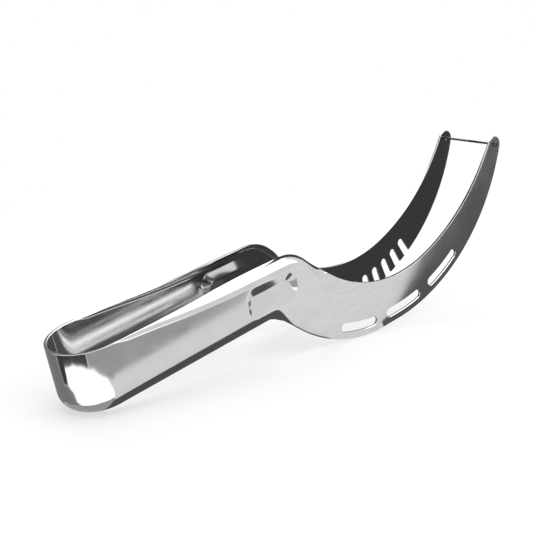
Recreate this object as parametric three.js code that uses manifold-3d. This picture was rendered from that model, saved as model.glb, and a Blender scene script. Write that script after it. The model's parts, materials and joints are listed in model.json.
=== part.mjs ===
// Watermelon slicer and server: a pressed stainless strip bent into a pair of tongs,
// with a curved blade on each arm and a cutting wire between the blade tips.
// Millimetres, +Z up. The tool is drawn with its grip level (x to the front, y across)
// and then tilted as one group, so that it stands on its bow and its two blade bellies.
import * as THREE from "three";
import { mergeVertices } from "three/addons/utils/BufferGeometryUtils.js";
import Module from "manifold-3d";

// Strip and grip. Heights are from the level line that the grip is drawn along
const stripThickness = 1.0;
const gripWidth = 26.0; // across the outer faces of the two arms
const gripLength = 89.6; // from the back of the bow to the corner of the shoulder
const gripTop = 10.0; // upper edge above the level line
const throatDepth = 10.7; // lower edge below the level line, at the throat
const bowDepth = 12.3; // lower edge below the level line, at the bow
const upperCurl = 4.0; // radius of the arms' upper edge, curled inward
const lowerCurl = 6.0; // radius of the lower edge, curled inward on the arms and the bow
const curlStart = 0.18; // share of the upper curl that is taken in a short run-in at the bow
const curlRunIn = 8.0; // length of that run-in
const curlGrowth = 59.0; // length from the bow in which the rest of the upper curl grows
const curlFade = 10.0; // stretch near the neck in which a curl fades out
const bendGap = 0.5; // slit between two stretches of strip that flex

// Neck between grip and blade, side view
const neckSlope = 46.0; // degrees that the upper edge falls
const shoulderRadius = 14.0;
const throatSlope = 44.0; // degrees that the lower edge falls
const throatRadius = 5.0;
const throatSetback = 11.6; // corner of the throat behind the corner of the shoulder
const neckReach = 8.9; // from the corner of the shoulder to where the blade flexes
const flatReach = 15.4; // from the same corner to where the strip has become flat

// Blades, side view
const hollowRadius = 54.0; // upper edge in front of the neck
const hollowDrop = 16.9; // its lowest point below the level line
const hollowTurn = 16.0; // degrees of climb at which the flatter front stretch takes over
const hollowFrontRadius = 80.0;
const bellyRadius = 60.0; // lower edge in front of the throat
const bellyDrop = 35.2;
const bellyFlat = 7.0; // level stretch at the bottom of the belly
const bellyFrontRadius = 74.0;
const tipRise = 15.5; // centre of the round tip above the level line

// Long slots in the slotted blade and the comb of notches in the toothed one, measured
// along the belly's edge
const slotCentre = 7.9; // middle slot, in front of the middle of the belly's level stretch
const slotCount = 3;
const slotWidth = 3.6;
const slotLength = 20.5; // with its two round ends
const slotPitch = 26.5;
const slotInset = 4.4; // slot centre line inside the edge
const notchCentre = 6.7; // middle notch, likewise
const notchCount = 11;
const notchWidth = 3.4;
const notchDepth = 8.3;
const notchPitch = 6.75;

// Thumb dimples
const dimpleLength = 22.5;
const dimpleHeight = 11.0;
const dimpleCorner = 4.5; // radius of its corners in the side view
const dimpleDepth = 1.1; // in the middle of its floor
const dimpleTilt = 10.0; // degrees that its floor leans, deeper towards the top
const dimpleWall = 2.4; // width of its sloping wall in the side view
const dimpleSetback = 14.0; // dimple centre behind the corner of the shoulder

// Cutting wire
const wireDiameter = 0.9;
const wireClearance = 0.3; // round the wire in its two tip holes
const wireHeadDiameter = 2.2;
const wireHeadThickness = 0.5;
const wireHeadGap = 0.3; // between a head and the blade's outer face
const wireEdgeDistance = 3.2; // wire centre behind the end of the tip

// Facets
const roundSteps = 24; // on a full small circle
const bowSteps = 48; // on the bow's full circle
const edgeSteps = 16; // on a long stretch of blade edge
const armSteps = 36; // along an arm
const leastCurl = 3.0; // degrees left of a curl that has faded out
const overlap = 1.0; // depth that joined solids share and that cutters stick out

const radians = THREE.MathUtils.degToRad;
const fade = THREE.MathUtils.smoothstep;
const quarterTurn = Math.PI / 2;
const straightDown = Math.PI * 1.5;
const faceY = gripWidth / 2; // outer face of an arm
const innerY = faceY - stripThickness;
const bowEndX = faceY; // the bow is a half round as wide as the grip
const neckX = gripLength + neckReach;
const flatX = gripLength + flatReach;
const farAway = gripLength * 3; // larger than anything here, for blocks that cut

const wasm = await Module();
wasm.setup();

// Solids from closed geometries, and back again
function solid(geometry) {
  const bare = geometry.clone();
  bare.deleteAttribute("normal");
  bare.deleteAttribute("uv");
  const merged = mergeVertices(bare, 1e-5);
  return new wasm.Manifold(
    new wasm.Mesh({
      numProp: 3,
      vertProperties: new Float32Array(merged.attributes.position.array),
      triVerts: new Uint32Array(merged.index.array),
    }),
  );
}

function geometryOf(body) {
  const mesh = body.getMesh();
  const geometry = new THREE.BufferGeometry();
  geometry.setAttribute("position", new THREE.BufferAttribute(mesh.vertProperties, 3));
  geometry.setIndex(new THREE.BufferAttribute(mesh.triVerts, 1));
  return geometry;
}

// Everything behind a cross plane of the tool, to be cut away
function allBehind(x) {
  const geometry = new THREE.BoxGeometry(farAway, farAway, farAway);
  geometry.translate(x - farAway / 2, 0, 0);
  return solid(geometry);
}

// A side view outline (x to the front, z up) made into a plate between two y values
function plate(points, y0, y1) {
  const geometry = new THREE.ExtrudeGeometry(new THREE.Shape(points), {
    depth: y1 - y0,
    bevelEnabled: false,
  });
  geometry.rotateX(quarterTurn); // the outline's second axis becomes +z, its depth -y
  geometry.translate(0, y1, 0);
  return solid(geometry);
}

// A skin over cross sections (y across, z up) that stand one behind the other along x
function loft(sections, places) {
  const count = sections[0].length;
  const positions = sections.flatMap((section, k) =>
    section.flatMap((point) => [places[k], point.x, point.y]),
  );
  const faces = [];
  for (let k = 0; k + 1 < sections.length; k += 1) {
    for (let i = 0; i < count; i += 1) {
      const here = k * count + i;
      const beside = k * count + ((i + 1) % count);
      faces.push(here, beside, beside + count);
      faces.push(here, beside + count, here + count);
    }
  }
  const last = (sections.length - 1) * count;
  for (const [a, b, c] of THREE.ShapeUtils.triangulateShape(sections[0], [])) {
    faces.push(c, b, a);
  }
  for (const [a, b, c] of THREE.ShapeUtils.triangulateShape(sections.at(-1), [])) {
    faces.push(last + a, last + b, last + c);
  }
  const geometry = new THREE.BufferGeometry();
  geometry.setAttribute("position", new THREE.Float32BufferAttribute(positions, 3));
  geometry.setIndex(faces);
  return solid(geometry);
}

// A round rod across the tool at a point of the side view
function crossRod(point, diameter, y0, y1) {
  const geometry = new THREE.CylinderGeometry(diameter / 2, diameter / 2, y1 - y0, roundSteps);
  geometry.translate(point.x, (y0 + y1) / 2, point.y);
  return solid(geometry);
}

// Plane geometry of the side view
function onCircle(centre, radius, angle) {
  return new THREE.Vector2(
    centre.x + radius * Math.cos(angle),
    centre.y + radius * Math.sin(angle),
  );
}

function arc(centre, radius, from, to, steps) {
  const points = [];
  for (let i = 0; i <= steps; i += 1) {
    points.push(onCircle(centre, radius, from + ((to - from) * i) / steps));
  }
  return points;
}

// Corner where a level edge starts to fall: the arc that rounds it
function roundedCorner(corner, slope, radius) {
  const setback = radius * Math.tan(slope / 2);
  const centre = new THREE.Vector2(corner.x - setback, corner.y - radius);
  return arc(centre, radius, quarterTurn, quarterTurn - slope, roundSteps / 3);
}

// Centre of a long round edge that touches the falling line through a corner and has its
// lowest point at a given drop below the level line
function edgeCentre(corner, slope, radius, drop) {
  const z = radius - drop;
  const toLine = radius + (corner.y - z) * Math.cos(slope);
  return new THREE.Vector2(corner.x + toLine / Math.sin(slope), z);
}

const neckAngle = radians(neckSlope);
const throatAngle = radians(throatSlope);
const turnAngle = straightDown + radians(hollowTurn);
const shoulderCorner = new THREE.Vector2(gripLength, gripTop);
const throatCorner = new THREE.Vector2(gripLength - throatSetback, -throatDepth);
const hollowCentre = edgeCentre(shoulderCorner, neckAngle, hollowRadius, hollowDrop);
const hollowFrontCentre = onCircle(hollowCentre, hollowRadius - hollowFrontRadius, turnAngle);
const bellyCentre = edgeCentre(throatCorner, throatAngle, bellyRadius, bellyDrop);
const bellyFrontCentre = new THREE.Vector2(
  bellyCentre.x + bellyFlat,
  bellyFrontRadius - bellyDrop,
);

// The round tip touches both front edges: its centre lies on the ellipse about their two
// centres, found by halving the stretch that it must lie in
function findTipCentre() {
  const reach = hollowFrontRadius + bellyFrontRadius;
  let near = hollowFrontCentre.x;
  let far = hollowFrontCentre.x + reach;
  const middle = new THREE.Vector2(near, tipRise);
  for (let i = 0; i < 50; i += 1) {
    middle.x = (near + far) / 2;
    if (middle.distanceTo(hollowFrontCentre) + middle.distanceTo(bellyFrontCentre) < reach) {
      near = middle.x;
    } else {
      far = middle.x;
    }
  }
  return middle;
}

const tipCentre = findTipCentre();
const tipRadius = bellyFrontRadius - tipCentre.distanceTo(bellyFrontCentre);
const tipUpperAngle = tipCentre.clone().sub(hollowFrontCentre).angle();
const tipLowerAngle = tipCentre.clone().sub(bellyFrontCentre).angle();
const tipHeading = (tipUpperAngle + tipLowerAngle) / 2 + quarterTurn;
const wirePoint = onCircle(tipCentre, tipRadius - wireEdgeDistance, tipHeading);

// Upper and lower edge of an arm with its blade, from the bow to the tip
const upperEdge = [
  new THREE.Vector2(bowEndX, gripTop),
  ...roundedCorner(shoulderCorner, neckAngle, shoulderRadius),
  ...arc(hollowCentre, hollowRadius, straightDown - neckAngle, turnAngle, edgeSteps),
  ...arc(hollowFrontCentre, hollowFrontRadius, turnAngle, tipUpperAngle, edgeSteps).slice(1),
];
const lowerEdge = [
  new THREE.Vector2(bowEndX, -bowDepth),
  ...roundedCorner(throatCorner, throatAngle, throatRadius),
  ...arc(bellyCentre, bellyRadius, straightDown - throatAngle, straightDown, edgeSteps),
  ...arc(bellyFrontCentre, bellyFrontRadius, straightDown, tipLowerAngle, edgeSteps),
];
const tipEdge = arc(tipCentre, tipRadius, tipUpperAngle + Math.PI, tipLowerAngle, roundSteps / 2);

// Height of an edge at a place along the tool
function heightAt(edge, x) {
  const next = Math.max(1, edge.findIndex((point) => point.x >= x));
  const before = edge[next - 1];
  const after = edge[next];
  const share = (x - before.x) / (after.x - before.x);
  return THREE.MathUtils.lerp(before.y, after.y, share);
}

// Point beside the belly's edge: a distance along it in front of the middle of its level
// stretch, and an inset into the blade
function besideBelly(distance, inset) {
  const turned = Math.abs(distance) - bellyFlat / 2;
  if (turned <= 0) {
    return new THREE.Vector2(bellyCentre.x + bellyFlat / 2 + distance, inset - bellyDrop);
  }
  if (distance > 0) {
    const angle = straightDown + turned / bellyFrontRadius;
    return onCircle(bellyFrontCentre, bellyFrontRadius - inset, angle);
  }
  return onCircle(bellyCentre, bellyRadius - inset, straightDown - turned / bellyRadius);
}

// Cutters for the two patterns. Each blade is made on the +y side
const cutterStart = innerY - overlap;
const cutterEnd = faceY + overlap;

function slotCutter(index) {
  const middle = slotCentre + (index - (slotCount - 1) / 2) * slotPitch;
  const straight = slotLength - slotWidth;
  const steps = roundSteps / 2;
  const lower = [];
  const upper = [];
  for (let i = 0; i <= steps; i += 1) {
    const distance = middle + straight * (i / steps - 0.5);
    lower.push(besideBelly(distance, slotInset - slotWidth / 2));
    upper.push(besideBelly(distance, slotInset + slotWidth / 2));
  }
  const rear = besideBelly(middle - straight / 2, slotInset);
  const front = besideBelly(middle + straight / 2, slotInset);
  return plate([...lower, ...upper.reverse()], cutterStart, cutterEnd)
    .add(crossRod(rear, slotWidth, cutterStart, cutterEnd))
    .add(crossRod(front, slotWidth, cutterStart, cutterEnd));
}

function notchCutter(index) {
  const distance = notchCentre + (index - (notchCount - 1) / 2) * notchPitch;
  const mouth = besideBelly(distance, -overlap);
  const end = besideBelly(distance, notchDepth - notchWidth / 2);
  const inward = end.clone().sub(mouth).setLength(notchWidth / 2);
  const across = new THREE.Vector2(inward.y, -inward.x);
  const outline = [
    mouth.clone().sub(across),
    mouth.clone().add(across),
    end.clone().add(across),
    end.clone().sub(across),
  ];
  return plate(outline, cutterStart, cutterEnd).add(
    crossRod(end, notchWidth, cutterStart, cutterEnd),
  );
}

// Section of an arm: a flat face with its upper and lower edges curled inward. A curl
// fades by turning through less than its quarter round
function armSection(x) {
  const runIn = curlStart * fade(x, bowEndX, bowEndX + curlRunIn);
  const growth = (1 - curlStart) * fade(x, bowEndX, bowEndX + curlGrowth);
  const upperFade = 1 - fade(x, flatX - curlFade, flatX);
  const lowerFade = 1 - fade(x, throatCorner.x - curlFade / 2, throatCorner.x + curlFade / 2);
  const upperTurn = radians(leastCurl + (90 - leastCurl) * (runIn + growth) * upperFade);
  const lowerTurn = radians(leastCurl + (90 - leastCurl) * lowerFade);
  const upper = new THREE.Vector2(
    faceY - upperCurl,
    heightAt(upperEdge, x) - upperCurl * Math.sin(upperTurn),
  );
  const lower = new THREE.Vector2(
    faceY - lowerCurl,
    heightAt(lowerEdge, x) + lowerCurl * Math.sin(lowerTurn),
  );
  const steps = roundSteps / 4;
  return [
    ...arc(lower, lowerCurl, -lowerTurn, 0, steps),
    ...arc(upper, upperCurl, 0, upperTurn, steps),
    ...arc(upper, upperCurl - stripThickness, upperTurn, 0, steps),
    ...arc(lower, lowerCurl - stripThickness, 0, -lowerTurn, steps),
  ];
}

// The rounded rectangle of the thumb dimple in the side view, at one depth, upright or
// leaning like the dimple's floor
function dimpleRing(y, growth, tilt) {
  const radius = dimpleCorner + growth;
  const along = dimpleLength / 2 - dimpleCorner;
  const up = dimpleHeight / 2 - dimpleCorner;
  const points = [];
  for (const [turn, dx, dz] of [[0, 1, 1], [1, -1, 1], [2, -1, -1], [3, 1, -1]]) {
    const middle = new THREE.Vector2(gripLength - dimpleSetback + dx * along, dz * up);
    const start = turn * quarterTurn;
    for (const point of arc(middle, radius, start, start + quarterTurn, roundSteps / 4)) {
      points.push([point.x, y - point.y * Math.tan(radians(tilt)), point.y]);
    }
  }
  return points;
}

// A stretch of the curled strip
function curledStrip(from, to, steps) {
  const places = [];
  for (let i = 0; i <= steps; i += 1) {
    places.push(THREE.MathUtils.lerp(from, to, i / steps));
  }
  return loft(places.map(armSection), places);
}

function makeArm() {
  const channel = curledStrip(bowEndX + bendGap, neckX, armSteps);
  const bump = wasm.Manifold.hull([
    ...dimpleRing(faceY - stripThickness / 2, stripThickness, 0),
    ...dimpleRing(innerY - dimpleDepth, stripThickness - dimpleWall, dimpleTilt),
  ]);
  const pocket = wasm.Manifold.hull([
    ...dimpleRing(faceY + overlap, 0, 0),
    ...dimpleRing(faceY, 0, 0),
    ...dimpleRing(faceY - dimpleDepth, -dimpleWall, dimpleTilt),
  ]);
  return channel.add(bump).subtract(pocket);
}

// A blade: the last of the curled strip, then flat to the tip
function makeBlade(cutters) {
  const outline = [...upperEdge, ...tipEdge.slice(1, -1), ...lowerEdge.toReversed()];
  const root = curledStrip(neckX + bendGap, flatX, armSteps / 3);
  const hole = crossRod(wirePoint, wireDiameter + 2 * wireClearance, cutterStart, cutterEnd);
  let blade = plate(outline, innerY, faceY).subtract(allBehind(flatX)).add(root).subtract(hole);
  for (const cutter of cutters) {
    blade = blade.subtract(cutter);
  }
  return blade;
}

// The bow: the strip turned half round, plain at the top and curled inward below
function makeBow() {
  const steps = roundSteps / 4;
  const lower = new THREE.Vector2(faceY - lowerCurl, lowerCurl - bowDepth);
  const profile = [
    ...arc(lower, lowerCurl, -quarterTurn, 0, steps),
    new THREE.Vector2(faceY, gripTop),
    new THREE.Vector2(innerY, gripTop),
    ...arc(lower, lowerCurl - stripThickness, 0, -quarterTurn, steps),
  ];
  profile.push(profile[0].clone());
  const geometry = new THREE.LatheGeometry(profile, bowSteps);
  geometry.rotateX(quarterTurn);
  geometry.translate(bowEndX, 0, 0);
  return solid(geometry).intersect(allBehind(bowEndX));
}

// The wire and its two upset heads, just outside the blades
function makeWire() {
  const headInner = faceY + wireHeadGap;
  const headOuter = headInner + wireHeadThickness;
  const shank = crossRod(wirePoint, wireDiameter, -headOuter, headOuter);
  const head = crossRod(wirePoint, wireHeadDiameter, headInner, headOuter);
  return shank.add(head).add(head.mirror([0, 1, 0]));
}

// Finishes
function steel(name, colour, roughness) {
  return new THREE.MeshStandardMaterial({ name, color: colour, roughness, metalness: 1.0 });
}

const polished = steel("polished_steel", "#c9c9c7", 0.12);
const satin = steel("satin_steel", "#b4b4b2", 0.3);
const wireSteel = steel("wire_steel", "#8f8f8d", 0.35);

function named(name, body, material) {
  const mesh = new THREE.Mesh(geometryOf(body), material);
  mesh.name = name;
  return mesh;
}

// Pieces are made on the +y side. The slotted ones are turned over to the -y side
const slots = Array.from({ length: slotCount }, (_, index) => slotCutter(index));
const notches = Array.from({ length: notchCount }, (_, index) => notchCutter(index));
const acrossTool = [0, 1, 0];

const tool = new THREE.Group();
tool.add(named("spring_bow", makeBow(), polished));
tool.add(named("slotted_side_arm", makeArm().mirror(acrossTool), polished));
tool.add(named("toothed_side_arm", makeArm(), polished));
tool.add(named("slotted_blade", makeBlade(slots).mirror(acrossTool), satin));
tool.add(named("toothed_blade", makeBlade(notches), satin));
tool.add(named("cutting_wire", makeWire(), wireSteel));

// Standing on the curled lower edge of the bow and on the bellies: the tilt at which the
// two round edges reach equally low
const along = bellyCentre.x - lowerCurl;
const above = bellyCentre.y + bowDepth - lowerCurl;
const standingTilt =
  Math.asin((bellyRadius - lowerCurl) / Math.hypot(along, above)) - Math.atan2(above, along);
tool.rotation.y = -standingTilt;

const slicer = new THREE.Group();
slicer.add(tool);
slicer.updateMatrixWorld(true);
const extent = new THREE.Box3().setFromObject(slicer, true);
const middle = extent.getCenter(new THREE.Vector3());
tool.position.set(-middle.x, -middle.y, -extent.min.z);

export default slicer;
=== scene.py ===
# %% [markdown]
# # Watermelon slicer
# The real tool is one strip of stainless sheet, pressed and bent round like a pair of tongs:
# a half-round bow at the back, two grip arms with curled edges, and a flat curved blade on
# each arm. A thin wire joins the two tips and cuts the slice free. One blade has three long
# slots, and the other has a comb of notches.
#
# The imported solids give the frame: where everything is, and which body moves with which.
# This lesson builds finer pieces in the same places, and lets the bow, the blades and the wire ride
# on those bodies.

# %% Load the imported solids
import json
import math

import bmesh
import bpy
import numpy as np
from mathutils import Matrix, Vector


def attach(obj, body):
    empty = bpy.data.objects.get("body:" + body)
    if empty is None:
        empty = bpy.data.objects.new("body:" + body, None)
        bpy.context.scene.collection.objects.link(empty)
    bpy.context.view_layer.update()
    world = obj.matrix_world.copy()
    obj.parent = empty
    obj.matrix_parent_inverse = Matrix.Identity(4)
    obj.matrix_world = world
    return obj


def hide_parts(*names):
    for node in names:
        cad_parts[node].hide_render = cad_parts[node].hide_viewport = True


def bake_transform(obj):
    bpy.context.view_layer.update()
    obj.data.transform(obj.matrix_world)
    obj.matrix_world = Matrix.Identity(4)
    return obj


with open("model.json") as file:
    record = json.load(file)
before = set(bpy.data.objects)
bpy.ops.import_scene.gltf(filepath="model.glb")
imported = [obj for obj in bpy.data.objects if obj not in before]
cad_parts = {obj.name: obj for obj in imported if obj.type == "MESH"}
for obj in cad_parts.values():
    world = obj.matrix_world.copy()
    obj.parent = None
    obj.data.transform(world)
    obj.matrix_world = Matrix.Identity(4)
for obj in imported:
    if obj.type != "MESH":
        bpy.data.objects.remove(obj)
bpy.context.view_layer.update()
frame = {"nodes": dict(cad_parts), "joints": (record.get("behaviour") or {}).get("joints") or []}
print("solids:", sorted(frame["nodes"]))

# %% [markdown]
# ## A handy frame for the strip
# The tool stands tilted, on its bow and on its two blade bellies. It is far easier to draw with
# the grip level: x to the front, y across and z up, in millimetres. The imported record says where
# the hinge at the slotted side's end of the bow is and how its axis leans, and that is enough to
# find the matrix from the level drawing to the standing tool in metres.

# %% Level drawing to standing tool
SHEET = 1.0  # thickness of the strip
FACE = 13.0  # outer face of an arm, from the middle plane
BEND_GAP = 0.5  # slit in the solids where the strip flexes

hinges = {joint["name"]: joint for joint in frame["joints"]}
arm_hinge = hinges["slotted_arm_squeeze"]
lean = math.atan2(-arm_hinge["axis"][0], arm_hinge["axis"][2])
turned = Matrix.Rotation(-lean, 4, "Y") @ Matrix.Scale(0.001, 4)
hinge_in_drawing = Vector((FACE + BEND_GAP / 2, SHEET / 2 - FACE, 0))
shift = Vector(arm_hinge["pos_m"]) - turned @ hinge_in_drawing
stand = Matrix.Translation(shift) @ turned


def place(x, y, z):
    """A point of the level drawing, in metres on the standing tool."""
    return stand @ Vector((x, y, z))


print("lean in degrees:", round(math.degrees(lean), 2))

# %% [markdown]
# ## Camera
# The photograph was taken close by, from behind the bow and a little above it, so the bow looks
# large and the blades run away from us. Place and lens were found by fitting the two equal
# blades and the grip to the picture. A place and two angles are enough, because the camera isn't
# rolled to one side.

# %% Camera
LENS = 57.82  # mm
SENSOR = 36.0  # mm
EYE = (-0.20295, -0.22082, 0.11462)  # in metres
LOOK_DOWN = 16.07  # degrees below level
LOOK_ASIDE = 40.31  # degrees from +y towards +x

scene = bpy.context.scene


def add_object(name, data):
    """A new object in the scene."""
    thing = bpy.data.objects.new(name, data)
    scene.collection.objects.link(thing)
    return thing


camera = add_object("camera", bpy.data.cameras.new("camera"))
camera.data.lens = LENS
camera.data.sensor_width = SENSOR
camera.data.clip_start = 0.01
camera.location = EYE
camera.rotation_euler = (math.radians(90 - LOOK_DOWN), 0, math.radians(-LOOK_ASIDE))
scene.camera = camera
print("camera distance in mm:", round(1000 * camera.location.length))

# %% [markdown]
# ## Nodes in a script
# Blender keeps both materials and Geometry Nodes as trees of nodes. By hand they are drawn in the
# node editor. Here a few helpers add nodes and link them, so that each finish, and later each
# shape, can be read as a list of steps.

# %% Node helpers
def feed(tree, node, inputs):
    """Gives each named or numbered input a plain value, or a link from another node's output."""
    for key, value in inputs.items():
        if isinstance(value, bpy.types.NodeSocket):
            tree.links.new(value, node.inputs[key])
        else:
            node.inputs[key].default_value = value


def add_node(tree, kind, inputs, **settings):
    """Adds a node, sets it up, feeds its inputs and returns its outputs."""
    node = tree.nodes.new(kind)
    for name, value in settings.items():
        setattr(node, name, value)
    feed(tree, node, inputs)
    return node.outputs


def calculate(tree, operation, first, second):
    return add_node(tree, "ShaderNodeMath", {0: first, 1: second}, operation=operation)["Value"]


def spread(tree, value, before, after, **settings):
    """Maps a value from the range before to the range after, and holds it at both ends."""
    inputs = {"Value": value, "From Min": before[0], "From Max": before[1]}
    inputs.update({"To Min": after[0], "To Max": after[1]})
    return add_node(tree, "ShaderNodeMapRange", inputs, **settings)["Result"]


print("helpers: feed, add_node, calculate, spread")

# %% [markdown]
# ## What all the steel shares
# Bare steel has hardly any colour of its own. Finishes differ in how they disturb a reflection,
# and noise can do that: stretched it is grain or scratches, and less stretched it is smudges or
# waves. A picture of scratches would do too, but noise has no edges to hide and holds at any
# scale. It sits on Object coordinates, so it stays put on the strip, and a Mapping node turns it
# along the leaning grip.

# %% Noise on the steel
FORWARD = Vector((math.cos(lean), 0, math.sin(lean)))  # direction of the grip


def object_place(tree):
    return add_node(tree, "ShaderNodeTexCoord", {})["Object"]


def stretched_noise(tree, scale, detail):
    """Noise with this many cells per metre along, across and up the grip."""
    inputs = {"Vector": object_place(tree), "Rotation": (0, -lean, 0)}
    inputs["Scale"] = [1 / cells for cells in scale]
    along_grip = add_node(tree, "ShaderNodeMapping", inputs, vector_type="TEXTURE")["Vector"]
    inputs = {"Vector": along_grip, "Scale": 1.0, "Detail": detail}
    return add_node(tree, "ShaderNodeTexNoise", inputs)["Fac"]


def distance_forward(tree):
    """Distance along the grip's direction, in metres."""
    inputs = {0: object_place(tree), 1: FORWARD}
    return add_node(tree, "ShaderNodeVectorMath", inputs, operation="DOT_PRODUCT")["Value"]


def forward_at(x):
    """The same distance for a place x of the level drawing."""
    return place(x, 0, 0).dot(FORWARD)


print("back of the bow, along the grip in mm:", round(1000 * forward_at(0), 2))

# %% Colour, bumps and shader
def new_material(name):
    material = bpy.data.materials.new(name)
    material.use_nodes = True
    return material, material.node_tree


def tone(tree, value, dark, light):
    """Mixes two colours by a value from 0 to 1."""
    mixed = add_node(tree, "ShaderNodeValToRGB", {"Fac": value})["Color"]
    for element, colour in zip(mixed.node.color_ramp.elements, (dark, light)):
        element.color = (*colour, 1)
    return mixed


def bumps(tree, heights):
    """Bump nodes in a row, one for each (height, strength, distance in metres)."""
    before = {}
    for height, strength, distance in heights:
        inputs = {"Height": height, "Strength": strength, "Distance": distance, **before}
        before = {"Normal": add_node(tree, "ShaderNodeBump", inputs)["Normal"]}
    return before["Normal"]


def make_steel(tree, colour, roughness, normal):
    inputs = {"Metallic": 1.0, "Base Color": colour, "Roughness": roughness, "Normal": normal}
    feed(tree, tree.nodes["Principled BSDF"], inputs)


print("helpers: new_material, tone, bumps, make_steel")

# %% [markdown]
# ## Polished steel
# The grip is mirror polished. Its finish lives in long hair scratches from the polishing wheel, a
# faint waviness left by the press, and hand smudges that make some places a little less sharp. The
# polish gets a little duller along the neck, where the ground blade begins.

# %% Polished steel
DULLER = (84.0, 106.0)  # stretch along the drawing in which the polish fades


def polished_steel():
    material, tree = new_material("polished_steel")
    scratches = stretched_noise(tree, (60, 9000, 9000), 2.0)
    smudges = stretched_noise(tree, (90, 160, 160), 6.0)
    waves = stretched_noise(tree, (30, 45, 45), 0.0)
    colour = tone(tree, smudges, (0.53, 0.53, 0.525), (0.68, 0.68, 0.675))
    smudged = spread(tree, smudges, (0.35, 0.7), (0.09, 0.15))
    neck = [forward_at(x) for x in DULLER]
    duller = spread(tree, distance_forward(tree), neck, (0.0, 0.02))
    roughness = calculate(tree, "ADD", smudged, duller)
    normal = bumps(tree, [(waves, 1.0, 0.00008), (scratches, 0.25, 0.0000012)])
    make_steel(tree, colour, roughness, normal)
    return material


polished = polished_steel()
print("finish:", polished.name)

# %% [markdown]
# ## Satin steel and wire
# The blades are ground, not polished: their grain runs along the grip's direction, so highlights
# smear and reflections lose their edges. The same noise makes it, and here the grain changes the
# colour too. The wire is drawn through a die, so its marks run along it, across the tool.

# %% Satin and wire steel
def satin_steel():
    material, tree = new_material("satin_steel")
    grain = stretched_noise(tree, (150, 3500, 3500), 5.0)
    clouds = stretched_noise(tree, (60, 80, 80), 3.0)
    waves = stretched_noise(tree, (25, 30, 30), 0.0)
    colour = tone(tree, grain, (0.5, 0.5, 0.495), (0.71, 0.71, 0.705))
    roughness = spread(tree, clouds, (0.3, 0.7), (0.1, 0.16))
    normal = bumps(tree, [(waves, 1.0, 0.00006), (grain, 0.25, 0.000006)])
    make_steel(tree, colour, roughness, normal)
    return material


def wire_steel():
    material, tree = new_material("wire_steel")
    drawn = stretched_noise(tree, (16000, 300, 16000), 2.0)
    colour = tone(tree, drawn, (0.06, 0.06, 0.06), (0.14, 0.14, 0.14))
    roughness = spread(tree, drawn, (0.3, 0.7), (0.22, 0.38))
    make_steel(tree, colour, roughness, bumps(tree, [(drawn, 0.3, 0.000003)]))
    return material


satin = satin_steel()
drawn_wire = wire_steel()
print("finishes:", satin.name, drawn_wire.name)

# %% [markdown]
# ## Side view of the strip
# Seen from the side, each arm keeps its height along the grip, falls at the shoulder and throat,
# and turns into the blade. Straight stretches and arcs describe both edges, so any place along
# the tool has an exact height for its upper and lower edge. The sizes are those of the solids.

# %% Edges of an arm
GRIP_LENGTH = 89.6  # back of the bow to the corner of the shoulder
GRIP_TOP = 10.0
BOW_DEPTH = 12.3
THROAT_DEPTH = 10.7
THROAT_X = 78.0  # corner of the throat
NECK_SLOPE = math.radians(46)
THROAT_SLOPE = math.radians(44)
SHOULDER_RADIUS = 14.0
THROAT_RADIUS = 5.0
HOLLOW_RADIUS = 54.0
HOLLOW_DROP = 16.9
BELLY_RADIUS = 60.0
BELLY_DROP = 35.2


def edge_centre(corner_x, corner_z, slope, radius, drop):
    """Centre of a long round edge that touches the falling line through a corner."""
    z = radius - drop
    to_line = radius + (corner_z - z) * math.cos(slope)
    return np.array([corner_x + to_line / math.sin(slope), z])


hollow = edge_centre(GRIP_LENGTH, GRIP_TOP, NECK_SLOPE, HOLLOW_RADIUS, HOLLOW_DROP)
belly = edge_centre(THROAT_X, -THROAT_DEPTH, THROAT_SLOPE, BELLY_RADIUS, BELLY_DROP)


def falling_edge(x, level, corner_x, slope, corner_radius, centre, radius):
    """Height of a level edge that rounds a corner, falls and runs into a long round edge."""
    start = corner_x - corner_radius * math.tan(slope / 2)
    if x <= start:
        return level
    if x <= start + corner_radius * math.sin(slope):
        return level - corner_radius + math.sqrt(corner_radius**2 - (x - start) ** 2)
    if x <= centre[0] - radius * math.sin(slope):
        return level - (x - corner_x) * math.tan(slope)
    return centre[1] - math.sqrt(radius**2 - (x - centre[0]) ** 2)


def upper_height(x):
    return falling_edge(
        x, GRIP_TOP, GRIP_LENGTH, NECK_SLOPE, SHOULDER_RADIUS, hollow, HOLLOW_RADIUS
    )


def lower_height(x):
    deeper = (BOW_DEPTH - THROAT_DEPTH) * np.clip((THROAT_X - x) / (THROAT_X - FACE), 0, 1)
    edge = falling_edge(
        x, -THROAT_DEPTH, THROAT_X, THROAT_SLOPE, THROAT_RADIUS, belly, BELLY_RADIUS
    )
    return edge - deeper


print("edge heights at the neck:", round(upper_height(98.5), 2), round(lower_height(98.5), 2))

# %% [markdown]
# ## Section of the strip
# Cut across, an arm is a shallow channel: a face with its upper and lower edges curled inward,
# so that no raw edge meets the hand. A curl that fades out doesn't get smaller, it turns through
# less of its quarter round, as pressed sheet does. The rims of the sheet are rounded, because it
# is the rim that catches the light. The section is written as a function of the place along the
# tool, and the arms are then lofted through many sections.

# %% How far the curls turn
LEAST_TURN = math.radians(6)
FULL_TURN = math.radians(90)
RUN_IN_START = 13.6  # behind this the bow has a plain upper edge
RUN_IN_END = 21.0
GROWTH_END = 72.0
RUN_IN_SHARE = 0.18  # of the curl, taken in the run-in
FLAT_X = 105.0  # in front of this the strip is flat
CURL_FADE = 10.0


def fade(x, start, end):
    share = np.clip((x - start) / (end - start), 0, 1)
    return share * share * (3 - 2 * share)


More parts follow.
